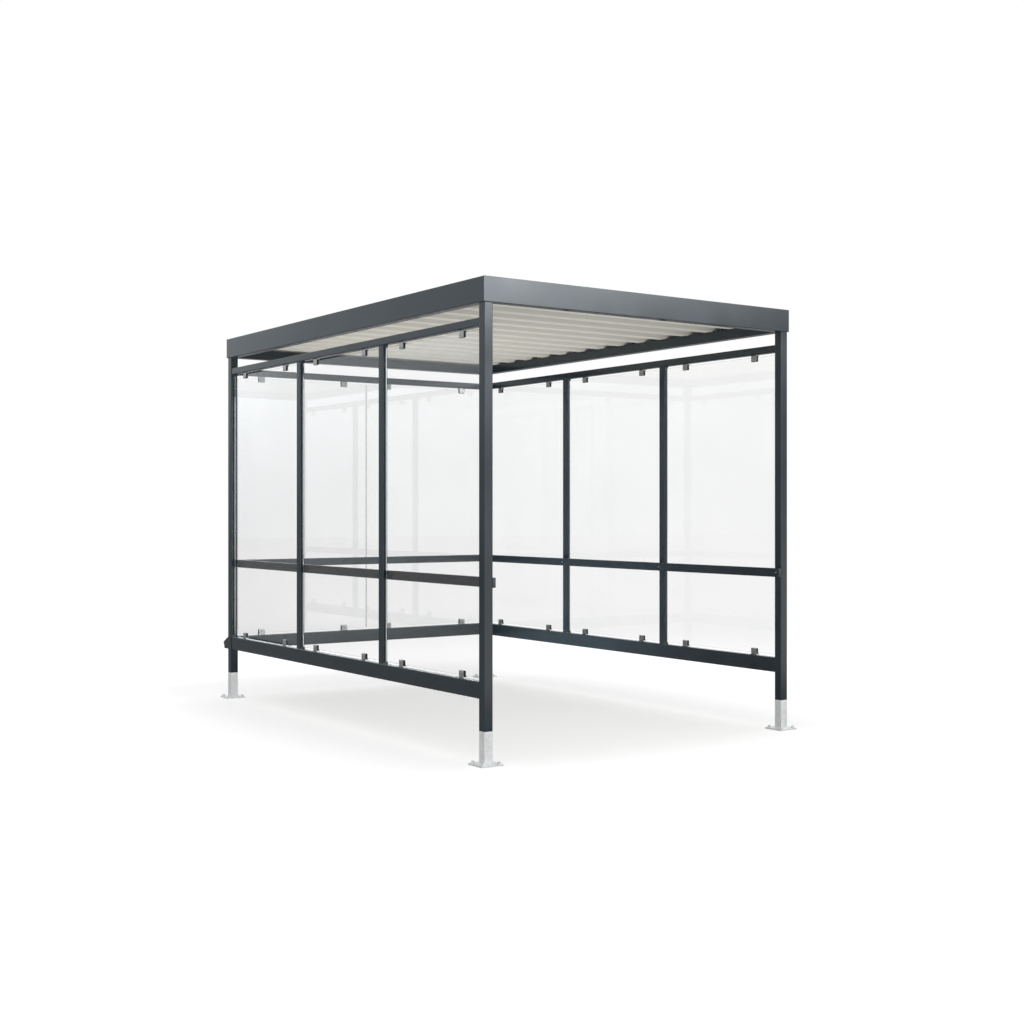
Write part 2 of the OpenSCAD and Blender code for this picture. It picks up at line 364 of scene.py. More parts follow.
class Tree:
    """Short calls for one node tree."""

    def __init__(self, tree: bpy.types.NodeTree) -> None:
        """Keeps the tree and empties it."""
        self.tree = tree
        tree.nodes.clear()

    def add(self, kind: str, sockets: dict | None = None, **settings: Any) -> bpy.types.Node:
        """Adds a node.

        Args:
            kind: the node's class name, without ShaderNode in front.
            sockets: input name or number to a value or an output to link.
            settings: the node's own settings.

        Returns:
            The node.
        """
        plain = kind.startswith("NodeGroup")
        node = self.tree.nodes.new(kind if plain else "ShaderNode" + kind)
        for key, value in settings.items():
            setattr(node, key, value)
        for key, value in (sockets or {}).items():
            if isinstance(value, Socket):
                self.tree.links.new(value, node.inputs[key])
            else:
                node.inputs[key].default_value = value
        return node

    def math(self, operation: str, a: Any, b: Any = 0.0, clamp: bool = False) -> Socket:
        """A sum, product or the like of two values or outputs."""
        return self.add("Math", {0: a, 1: b}, operation=operation, use_clamp=clamp).outputs[0]

    def times(self, a: Any, b: Any) -> Socket:
        """The product of two values or outputs."""
        return self.math("MULTIPLY", a, b)

    def scaled(self, vector: Socket, by: Any) -> Socket:
        """A vector multiplied part by part by another."""
        return self.add("VectorMath", {0: vector, 1: by}, operation="MULTIPLY").outputs[0]

    def noise(self, where: Socket, scale: Any, detail: float) -> Socket:
        """Noise between 0 and 1 at a number of cells per metre."""
        sockets = {"Vector": where, "Scale": scale, "Detail": detail}
        return self.add("TexNoise", sockets).outputs[0]

    def ramp(self, value: Any, low: Any, high: Any, out: Range = (0.0, 1.0)) -> Socket:
        """A value stretched smoothly from low..high to the two numbers of out."""
        ends = {"From Min": low, "From Max": high, "To Min": out[0], "To Max": out[1]}
        node = self.add("MapRange", {"Value": value, **ends}, interpolation_type="SMOOTHSTEP")
        return node.outputs[0]

    def patches(self, where: Socket, scale: float, detail: float, low: float, high: float) -> Socket:
        """Soft patches of noise, from 0 to 1 where the noise goes from low to high."""
        return self.ramp(self.noise(where, scale, detail), low, high)

    def blend(self, share: Any, first: Any, second: Any) -> Socket:
        """Two colours mixed by a share."""
        first, second = (v if isinstance(v, Socket) else (*v, 1.0) for v in (first, second))
        return self.add("Mix", {0: share, 6: first, 7: second}, data_type="RGBA").outputs[2]

    def bump(self, height: Socket, strength: float, distance: float) -> Socket:
        """The normal bent by a height."""
        sockets = {"Strength": strength, "Distance": distance, "Height": height}
        return self.add("Bump", sockets).outputs["Normal"]

    def principled(self, colour: Socket, rough: Any, normal: Socket, **plain: float) -> Socket:
        """Adds the Principled shader.

        Args:
            colour: the base colour.
            rough: the roughness.
            normal: the bent normal.
            plain: other values, set on the shader's own sockets.

        Returns:
            The shader's output.
        """
        sockets = {"Base Color": colour, "Roughness": rough, "Normal": normal}
        sockets |= {key.replace("_", " "): value for key, value in plain.items()}
        return self.add("BsdfPrincipled", sockets).outputs[0]

    def place(self) -> Socket:
        """Object coordinates, which are the frame's own metres."""
        return self.add("TexCoord").outputs["Object"]

    def part(self, vector: Socket, axis: str) -> Socket:
        """One part of a vector, by its axis."""
        return self.add("SeparateXYZ", {0: vector}).outputs[axis]

    def upward(self) -> Socket:
        """1 where the surface looks up, -1 where it looks down."""
        return self.part(self.add("NewGeometry").outputs["Normal"], "Z")

    def effect(self, group: bpy.types.NodeTree, **values: Any) -> bpy.types.NodeOutputs:
        """Places a shared effect with its own values and returns its outputs."""
        sockets = {key.capitalize(): value for key, value in values.items()}
        return self.add("Group", sockets, node_tree=group).outputs


class Group(Tree):
    """The tree of a shared effect, with plain number inputs and outputs."""

    def __init__(self, name: str, outputs: Sequence[str], **inputs: float) -> None:
        """Makes the group and its sockets.

        Args:
            name: name of the node group.
            outputs: output names.
            inputs: input names and their usual values.
        """
        super().__init__(bpy.data.node_groups.new(name, "ShaderNodeTree"))
        face = self.tree.interface
        for key, value in inputs.items():
            socket = face.new_socket(key, in_out="INPUT", socket_type="NodeSocketFloat")
            socket.default_value = value
        for key in outputs:
            face.new_socket(key, in_out="OUTPUT", socket_type="NodeSocketFloat")
        self.given = self.add("NodeGroupInput").outputs
        self.result = self.add("NodeGroupOutput").inputs

    def give(self, **values: Socket) -> bpy.types.NodeTree:
        """Links the group's outputs.

        Args:
            values: output names and what each puts out.

        Returns:
            The finished group.
        """
        for key, value in values.items():
            self.tree.links.new(value, self.result[key])
        return self.tree


class Effects:
    """The node groups that several finishes share, each built once."""

    @staticmethod
    @cache
    def peel() -> bpy.types.NodeTree:
        """Fine orange-peel relief and broad mottling of a baked coat."""
        tree = Group("coat_peel", ("Height", "Mottle"), Cells=450.0)
        where = tree.place()
        cells = tree.given["Cells"]
        dimple = tree.noise(where, tree.times(cells, 0.31), 1.0)
        height = tree.math("ADD", tree.noise(where, cells, 2.0), dimple)
        return tree.give(Height=height, Mottle=tree.patches(where, 3.1, 5.0, 0.3, 0.7))

    @staticmethod
    @cache
    def dust() -> bpy.types.NodeTree:
        """Pale dust: thickest near the ground and on faces that look up."""
        tree = Group("road_dust", ("Mask",), Floor=0.2, Top=0.7, Splash=0.5, Settled=0.4)
        where = tree.place()
        low = tree.ramp(tree.part(where, "Z"), tree.given["Top"], tree.given["Floor"])
        patchy = tree.patches(where, 14.0, 4.0, 0.2, 0.8)
        splash = tree.times(tree.times(low, patchy), tree.given["Splash"])
        lying = tree.patches(where, 9.0, 5.0, 0.25, 0.8)
        lying = tree.times(tree.ramp(tree.upward(), 0.5, 1.0), lying)
        settled = tree.times(lying, tree.given["Settled"])
        return tree.give(Mask=tree.math("MAXIMUM", splash, settled, clamp=True))

    @staticmethod
    @cache
    def brushed() -> bpy.types.NodeTree:
        """Fine brushed lines along two axes of a metal, close together along the third."""
        tree = Group("brushed_lines", ("Lines",), Density=900.0, Stretch=0.03)
        stretch = tree.given["Stretch"]
        scale = tree.add("CombineXYZ", {0: stretch, 1: stretch, 2: 1.0}).outputs[0]
        where = tree.scaled(tree.place(), scale)
        return tree.give(Lines=tree.noise(where, tree.given["Density"], 3.0))


# ---- finishes ----


def linear(red: int, green: int, blue: int) -> Colour:
    """The linear colour of three display values between 0 and 255."""
    v = np.array([red, green, blue]) / 255
    return tuple(float(c) for c in np.where(v <= 0.04045, v / 12.92, ((v + 0.055) / 1.055) ** 2.4))


def shaded(colour: Colour, factor: float) -> Colour:
    """A colour with each part multiplied by a factor, at most 1."""
    return tuple(min(c * factor, 1.0) for c in colour)


@dataclass(frozen=True)
class Finish:
    """A finish with its name and the record's material slot; each kind lays its own nodes."""

    name: str
    slot: str

    def material(self) -> bpy.types.Material:
        """The material of this finish, built the first time it is asked for."""
        made = bpy.data.materials.get(self.name)
        if made is None:
            made = bpy.data.materials.new(self.name)
            made.use_nodes = True
            tree = Tree(made.node_tree)
            tree.add("OutputMaterial", {"Surface": self.surface(tree)})
        return made

    def surface(self, tree: Tree) -> Socket:
        """Lays the finish's nodes.

        Args:
            tree: the material's empty tree.

        Returns:
            The shader's output.
        """
        raise NotImplementedError


@dataclass(frozen=True)
class PowderCoat(Finish):
    """Satin baked coat on steel: orange peel, faint mottling and road dust."""

    colour: Colour = linear(38, 49, 56)
    dust_colour: Colour = linear(140, 138, 132)
    roughness: float = 0.15
    cells: float = 420.0
    splash: float = 0.05
    settled: float = 0.08
    dusty: Range = (0.18, 0.62)
    mottling: Range = (0.93, 1.07)
    peel_depth: float = 0.6 * MM

    def surface(self, tree: Tree) -> Socket:
        """Peel drives the bump; mottling and dust drive colour and gloss."""
        peel = tree.effect(Effects.peel(), cells=self.cells)
        floor, top = self.dusty
        given = {"floor": floor, "top": top, "splash": self.splash, "settled": self.settled}
        dust = tree.effect(Effects.dust(), **given)["Mask"]
        dark, light = (shaded(self.colour, share) for share in self.mottling)
        coat = tree.blend(peel["Mottle"], dark, light)
        colour = tree.blend(tree.times(dust, 0.5), coat, self.dust_colour)
        rough = tree.ramp(peel["Mottle"], 0.0, 1.0, (self.roughness - 0.03, self.roughness + 0.04))
        rough = tree.math("ADD", rough, tree.times(dust, 0.6), clamp=True)
        bump = tree.bump(peel["Height"], 0.06, self.peel_depth)
        return tree.principled(colour, rough, bump, IOR=1.5)


@dataclass(frozen=True)
class Galvanised(Finish):
    """Hot-dip zinc: crystals of uneven brightness under a dull pale bloom."""

    colour: Colour = linear(238, 239, 239)
    bloom: Colour = linear(240, 240, 239)
    crystals: float = 70.0
    gloss: Range = (0.34, 0.52)
    grain: float = 700.0

    def surface(self, tree: Tree) -> Socket:
        """Crystal cells vary colour and gloss; bloom dulls patches of them."""
        where = tree.place()
        cell = tree.add("TexVoronoi", {"Vector": where, "Scale": self.crystals})
        tone = tree.part(cell.outputs["Color"], "X")
        zinc = tree.blend(tone, shaded(self.colour, 0.91), shaded(self.colour, 1.03))
        patch = tree.patches(where, 22.0, 6.0, 0.45, 0.7)
        colour = tree.blend(tree.times(patch, 0.6), zinc, self.bloom)
        rough = tree.ramp(tone, 0.0, 1.0, self.gloss)
        rough = tree.math("ADD", rough, tree.times(patch, 0.15), clamp=True)
        bump = tree.bump(tree.noise(where, self.grain, 3.0), 0.06, 0.3 * MM)
        return tree.principled(colour, rough, bump, Metallic=0.25)


@dataclass(frozen=True)
class CoilCoat(Finish):
    """Cream coil coating of the roof sheet, grimed a little where it lies flat, with painted shade
    on the rib slopes.
    """

    colour: Colour = linear(226, 223, 213)
    grime: Colour = linear(160, 154, 140)
    stretch: Point = (0.6, 14.0, 14.0)
    # painted shade: how much darker the rib slopes are drawn than the flat pans
    painted_slope_shade: float = 0.86
    gloss: Range = (0.42, 0.52)

    def surface(self, tree: Tree) -> Socket:
        """Streaks along the ribs and grime on top vary the coat; the rib slopes are drawn darker as
        painted shade.
        """
        peel = tree.effect(Effects.peel(), cells=800.0)
        where = tree.place()
        streak = tree.patches(tree.scaled(where, self.stretch), 1.0, 4.0, 0.35, 0.75)
        up = tree.upward()
        spots = tree.patches(where, 26.0, 7.0, 0.45, 0.8)
        dirt = tree.math("MAXIMUM", tree.times(streak, 0.30), tree.times(spots, 0.22))
        dirt = tree.times(tree.ramp(up, 0.2, 0.9), dirt)
        coat = tree.blend(streak, shaded(self.colour, 0.97), shaded(self.colour, 1.02))
        # painted shade: faces that tilt away from flat (the rib slopes) blend towards a darker copy
        # of the coat
        slope = tree.ramp(tree.math("ABSOLUTE", up), 0.99, 0.75)
        coat = tree.blend(slope, coat, shaded(self.colour, self.painted_slope_shade))
        rough = tree.ramp(peel["Mottle"], 0.0, 1.0, self.gloss)
        bump = tree.bump(peel["Height"], 0.04, 0.4 * MM)
        return tree.principled(tree.blend(dirt, coat, self.grime), rough, bump)


@dataclass(frozen=True)
class SafetyGlass(Finish):
    """Clear toughened glass, slightly wavy, with green ground edges."""

    clear: Colour = (0.978, 0.980, 0.978)
    film: Colour = (0.955, 0.959, 0.957)
    edge: Colour = (0.42, 0.66, 0.60)
    shadow: Colour = (0.64, 0.65, 0.65)

    def surface(self, tree: Tree) -> Socket:
        """A thin film and the edge mark tint the glass; lamps pass through."""
        where = tree.place()
        body = tree.blend(tree.patches(where, 1.7, 4.0, 0.3, 0.7), self.clear, self.film)
        mark = tree.add("Attribute", attribute_name="mark").outputs["Fac"]
        wave = tree.bump(tree.noise(where, 5.0, 1.0), 0.02, 4 * MM)
        colour = tree.blend(mark, body, self.edge)
        glass = tree.principled(colour, 0.0, wave, IOR=1.5, Transmission_Weight=1.0)
        path = tree.add("LightPath").outputs
        lamp_ray = tree.math("MAXIMUM", path["Is Shadow Ray"], path["Is Diffuse Ray"])
        passing = tree.add("BsdfTransparent", {"Color": (*self.shadow, 1.0)}).outputs[0]
        return tree.add("MixShader", {0: lamp_ray, 1: glass, 2: passing}).outputs[0]


@dataclass(frozen=True)
class SatinSteel(Finish):
    """Satin stainless steel with fine brushed lines."""

    colour: Colour = linear(188, 188, 186)
    roughness: float = 0.34

    def surface(self, tree: Tree) -> Socket:
        """Brushed lines vary colour and gloss; fingermarks dull patches."""
        lines = tree.effect(Effects.brushed())["Lines"]
        smudge = tree.patches(tree.place(), 60.0, 4.0, 0.4, 0.75)
        colour = tree.blend(lines, shaded(self.colour, 0.82), shaded(self.colour, 1.08))
        rough = tree.ramp(lines, 0.2, 0.8, (self.roughness - 0.06, self.roughness + 0.08))
        rough = tree.math("ADD", rough, tree.times(smudge, 0.10), clamp=True)
        return tree.principled(colour, rough, tree.bump(lines, 0.05, 0.3 * MM), Metallic=1.0)


@dataclass(frozen=True)
class BlackMoulding(Finish):
    """Black rubber or plastic with a fine moulded grain."""

    colour: Colour = linear(34, 35, 36)
    roughness: float = 0.62
    grain: float = 1100.0

    def surface(self, tree: Tree) -> Socket:
        """Grain drives the bump; a grey bloom lies in patches."""
        where = tree.place()
        grain = tree.noise(where, self.grain, 2.0)
        bloom = tree.patches(where, 45.0, 5.0, 0.45, 0.8)
        colour = tree.blend(tree.times(bloom, 0.35), self.colour, shaded(self.colour, 3.0))
        rough = tree.ramp(grain, 0.2, 0.8, (self.roughness - 0.08, self.roughness + 0.08))
        return tree.principled(colour, rough, tree.bump(grain, 0.15, 0.3 * MM))


FRAME_COAT = PowderCoat("anthracite_coat", "frame_paint")
FASCIA_COAT = PowderCoat(
    "anthracite_fascia_coat", "fascia_paint", roughness=0.14, splash=0.0, settled=0.16
)
ZINC = Galvanised("hot_dip_zinc", "galvanised")
ROOF_COAT = CoilCoat("cream_coil_coat", "roof_paint")
GLASS = SafetyGlass("toughened_glass", "glass")
STEEL = SatinSteel("satin_stainless", "clip_metal")
SCREW_STEEL = SatinSteel("zinc_plated_screws", "clip_metal", linear(170, 170, 166), 0.28)
RUBBER = BlackMoulding("black_rubber", "rubber")
CAP_PLASTIC = BlackMoulding("black_cap_plastic", "cap_plastic", linear(38, 41, 43), 0.5, 700.0)


# ---- small hardware ----


def button_screw(head_d: float, head_h: float, socket_d: float) -> Shell:
    """A round-headed screw with a socket, its bearing face at 0, looking up.

    Formula: lathe of a quarter-ellipse dome with a straight-sided socket.

    Args:
        head_d: the head's diameter.
        head_h: its height.
        socket_d: the socket's diameter.

    Returns:
        The closed surface.
    """
    inner = socket_d / 2
    rim = inner * 1.1
    angle = np.linspace(0.0, math.pi / 2, 5)
    dome = zip(rim + (head_d / 2 - rim) * np.cos(angle), head_h * np.sin(angle))
    socket = [(inner, head_h * 0.97), (inner * 0.92, head_h * 0.35)]
    return lathe([(head_d / 2 * 0.98, -0.2 * MM), *dome, *socket], 14)


def hex_screw(across: float, head_h: float, washer_d: float, washer_h: float) -> Shell:
    """A hexagon-headed roofing screw with its domed washer, looking up.

    Formula: a lathe of six sides for the head on a lathe of sixteen sides.

    Args:
        across: the head's width across its flats.
        head_h: its height.
        washer_d: the washer's diameter.
        washer_h: its height.

    Returns:
        The two closed surfaces, joined.
    """
    corner, r, h = across / math.sqrt(3), washer_d / 2, washer_h
    top = head_h + h
    washer = lathe([(r, 0.0), (r, h * 0.4), (r * 0.6, h)], 16)
    flange = [(corner * 1.25, h * 0.8), (corner * 1.25, h * 1.1), (corner, h * 1.2)]
    head = lathe([*flange, (corner, top - h * 0.1), (corner * 0.82, top)], 6)
    return joined([washer, head])


# ---- the sub-assemblies ----


@dataclass(frozen=True)
class Layout:
    """Places that several sub-assemblies share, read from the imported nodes."""

    half_w: float
    inner_x: float
    front_y: float
    bay_front_y: float
    rear_y: float
    roof_z: float

    @classmethod
    def read(cls) -> "Layout":
        """Reads the places from the boxes of the posts."""
        low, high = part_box("post_front_right")
        return cls(high.x, low.x, low.y, high.y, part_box("post_rear_right")[1].y, high.z)

    @property
    def side_x(self) -> float:
        """Middle plane of the side walls, on the right."""
        return (self.half_w + self.inner_x) / 2

    @property
    def mid_y(self) -> float:
        """Middle of the posts' depth."""
        return (self.front_y + self.rear_y) / 2


@dataclass
class WeldBeads:
    """Rippled fillet beads round the ends of the tubes."""

    radius: float = 2.4 * MM
    foot_radius: float = 3.6 * MM
    ripple: float = 0.16
    pitch: float = 5.0 * MM
    step: float = 1.6 * MM
    corner: float = 6.0 * MM
    plate_top: float = 10.0 * MM

    def loop(self, node: str, axis: int, at: float, radius: float) -> Shell:
        """A bead round a rectangular tube, where it meets another piece.

        Formula: the path is the tube's rounded outline, sampled every step of
        its length s. Ring i lies at path_i + r_i (cos a side_i + sin a axis),
        where side is square to the path and r swells as
        radius * (1 + ripple * sin(2 pi s / pitch)).

        Args:
            node: the tube's node.
            axis: number of the axis that the tube runs along.
            at: the bead's place on that axis.
            radius: the bead's radius.

        Returns:
            The closed bead.
        """
        low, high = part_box(node)
        across = [k for k in range(3) if k != axis]
        outline = rounded(rectangle(*((high[k] - low[k]) / 2 for k in across)), self.corner, 6)
        closed = np.vstack([outline, outline[:1]])
        length = np.concatenate([[0.0], np.cumsum(np.linalg.norm(np.diff(closed, axis=0), axis=1))])
        count = int(length[-1] / self.step)
        s = np.arange(count) * length[-1] / count
        path = np.tile(np.array((low + high) / 2), (count, 1))
        path[:, axis] = at
        path[:, across] += np.stack([np.interp(s, length, closed[:, k]) for k in (0, 1)], -1)
        along = np.roll(path, -1, 0) - np.roll(path, 1, 0)
        along /= np.linalg.norm(along, axis=1, keepdims=True)
        normal = np.eye(3)[axis]
        side = np.cross(along, normal)[:, None]
        angle = (np.arange(6) * math.pi / 3)[:, None]
        whole = max(1, round(length[-1] / self.pitch))
        swell = radius * (1 + self.ripple * np.sin(2 * math.pi * whole * s / length[-1]))
        spread = np.cos(angle) * side + np.sin(angle) * normal
        return skin(path[:, None] + swell[:, None, None] * spread, closed=True)

    def build(self) -> None:
        """Beads round the ends of the top and bottom rails and of the mullions, and round each foot.
        """
        walls = {"left": 1, "right": 1, "rear": 0}
        rails = ("top", "bottom")
        tubes = [(f"{wall}_{rail}_rail", axis) for rail in rails for wall, axis in walls.items()]
        tubes += [(f"{hand}_mullion_{end}", 2) for hand in HANDS for end in ENDS]
        ends = [(node, axis, end[axis]) for node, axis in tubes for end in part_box(node)]
        beads = [self.loop(*end, self.radius) for end in ends]
        make_piece("frame_weld_beads", joined(beads), FRAME_COAT)
        feet = [self.loop(f"post_{c}", 2, self.plate_top, self.foot_radius) for c in CORNERS]
        make_piece("foot_weld_beads", joined(feet), ZINC)


@dataclass
class AnchorBolts:
    """Studs with nuts and washers that hold the base plates down."""

    plate_top: float = 10.0 * MM
    half_pitch: float = 55.0 * MM
    stud_d: float = 12.0 * MM
    washer_d: float = 24.0 * MM
    washer_t: float = 2.5 * MM
    nut_across: float = 19.0 * MM
    nut_h: float = 10.0 * MM
    stud_out: float = 3.5 * MM
    chamfer: float = 1.2 * MM
    turn: float = 2.4

    def bolt(self) -> Shell:
        """One stud from just over the plate's underside, with washer and nut.

        Formula: lathes of 24, 6 and 16 sides for washer, nut and stud; the
        nut's and the stud's upper edges are chamfered.
        """
        r, low = self.washer_d / 2, self.plate_top + self.washer_t
        washer = lathe([(r, self.plate_top), (r, low)], 24)
        corner, top = self.nut_across / math.sqrt(3), low + self.nut_h
        nut = lathe([(corner, low), (corner, top - self.chamfer), (corner * 0.87, top)], 6)
        r, end = self.stud_d / 2, top + self.stud_out
        stud = lathe([(r, 0.5 * MM), (r, end - self.chamfer), (r - self.chamfer, end)], 16)
        return joined([washer, nut, stud])

    def build(self) -> None:
        """Four bolts through each base plate, the nuts turned unevenly."""
        places = []
        for corner in CORNERS:
            low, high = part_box(f"post_{corner}")
            x, y, reach = (low.x + high.x) / 2, (low.y + high.y) / 2, self.half_pitch
            places += [(x + a * reach, y + b * reach, 0.0) for a in BOTH for b in BOTH]
        angle = np.arange(len(places)) * self.turn
        turns = [[[c, -s, 0], [s, c, 0], [0, 0, 1]] for c, s in zip(np.cos(angle), np.sin(angle))]
        make_piece("anchor_bolts", copies(self.bolt(), places, turns), ZINC)


@dataclass
class SteelFrame:
    """Posts, rails, mullions, roof beams, spouts and feet, with the bumper rails' fixings."""

    places: Layout
    rail_screw: tuple[float, ...] = (13.0 * MM, 3.4 * MM, 4.6 * MM)
    angle_screw: tuple[float, ...] = (10.0 * MM, 2.6 * MM, 3.6 * MM)
    spacer_d: float = 26.0 * MM
    angle_leg: float = 46.0 * MM
    angle_t: float = 3.0 * MM
    angle_h: float = 34.0 * MM
    angle_hole: float = 30.0 * MM
    cap_corner: float = 3.4 * MM

    def dress(self) -> None:
        """Gives the carried-over nodes their coats."""
        rails = [f"{w}_{r}_rail" for w in (*HANDS, "rear") for r in ("top", "bottom", "bumper")]
        mullions = [f"{hand}_mullion_{end}" for hand in HANDS for end in ENDS]
        beams = [f"roof_beam_{edge}" for edge in (*HANDS, *ENDS)]
        spouts = [f"rain_spout_{hand}" for hand in HANDS]
        posts = [f"post_{corner}" for corner in CORNERS]
        dress([*posts, *rails, *mullions, *beams, *spouts], FRAME_COAT)
        dress([f"foot_{corner}" for corner in CORNERS], ZINC)

    def bumper_fixings(self) -> None:
        """Screws through the bumper rails, and spacers at the mullions."""
        low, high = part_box("right_bumper_rail")
        mid_z = (low.z + high.z) / 2
        mullions = [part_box(f"right_mullion_{end}") for end in ENDS]
        mullion_ys = [(b[0].y + b[1].y) / 2 for b in mullions]
        ys = [(self.places.front_y + self.places.bay_front_y) / 2, *mullion_ys]
        gap, r = mullions[0][0].x - high.x, self.spacer_d / 2
        spacer = lathe([(r * 0.92, 0.0), (r, gap * 0.12), (r, gap * 0.88), (r * 0.92, gap)], 24)
        screw = button_screw(*self.rail_screw)
        for name, shell, finish, x, rows, way in (
            ("bumper_rail_screws", screw, SCREW_STEEL, low.x, ys, -1.0),
            ("bumper_rail_spacers", spacer, CAP_PLASTIC, high.x, mullion_ys, 1.0),
        ):
            places = [(side * x, y, mid_z) for side in BOTH for y in rows]
            turns = [facing((way * side, 0.0, 0.0)) for side in BOTH for _ in rows]
            make_piece(name, copies(shell, places, turns), finish)

    def corner_angles(self) -> None:
        """Bent angles that tie the rear bumper rail to the side ones.

        Formula: an L outline with rounded bend, run up the Z axis.
        """
        low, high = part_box("rear_bumper_rail")
        leg, sheet, hole = self.angle_leg, self.angle_t, self.angle_hole
        outline = [(0, 0), (leg, 0), (leg, sheet), (sheet, sheet), (sheet, leg), (0, leg)]
        flat = rounded(outline, np.array([0.1, 1, 1, 2, 1, 1]) * MM, 4)
        mid_z = (low.z + high.z) / 2
        heights = [mid_z + way * self.angle_h / 2 for way in BOTH]
        angles, places, turns = [], [], []
        for side in BOTH:
            across = np.stack([side * (high.x - flat[:, 0]), low.y - flat[:, 1]], -1)
            angles.append(skin(np.stack([np.insert(across, 2, z, axis=1) for z in heights])))
            places.append((side * (high.x - hole), low.y - sheet, mid_z))
            places.append((side * (high.x - sheet), low.y - hole, mid_z))
            turns += [facing((0.0, -1.0, 0.0)), facing((-side, 0.0, 0.0))]
        make_piece("bumper_corner_angles", joined(angles), FRAME_COAT)
        screws = copies(button_screw(*self.angle_screw), places, turns)
        make_piece("bumper_angle_screws", screws, SCREW_STEEL)

    def caps(self) -> None:
        """Crowned end caps of the side bumper rails.

        Formula: the rail's rounded outline in four rings, the last ones drawn
        in towards the middle so that the cap's edge is soft.
        """
        low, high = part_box("right_bumper_rail")
        depth = low.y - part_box("bumper_rail_caps")[0].y
        half = np.array([high.x - low.x, high.z - low.z]) / 2
        outline = rounded(rectangle(*half), self.cap_corner, 5)
        share = np.array([0.0, 0.55, 0.9, 1.0])
        inset = np.array([0.0, 0.0, 0.5, 1.4]) * MM
        flat = outline * (1 - inset[:, None, None] / half)
        shells = []
        for side in BOTH:
            for start, way in ((low.y, -1.0), (high.y, 1.0)):
                rings = np.empty((*flat.shape[:2], 3))
                rings[..., 0] = side * (low.x + high.x) / 2 + flat[..., 0]
                rings[..., 1] = start + way * depth * share[:, None]
                rings[..., 2] = (low.z + high.z) / 2 + flat[..., 1]
                shells.append(skin(rings))
        make_piece("bumper_end_caps", joined(shells), CAP_PLASTIC, "bumper_rail_caps")

    def build(self) -> None:
        """Dresses the nodes and makes the frame's own pieces."""
        self.dress()
        self.bumper_fixings()
        self.corner_angles()
        self.caps()
        WeldBeads().build()
        AnchorBolts().build()


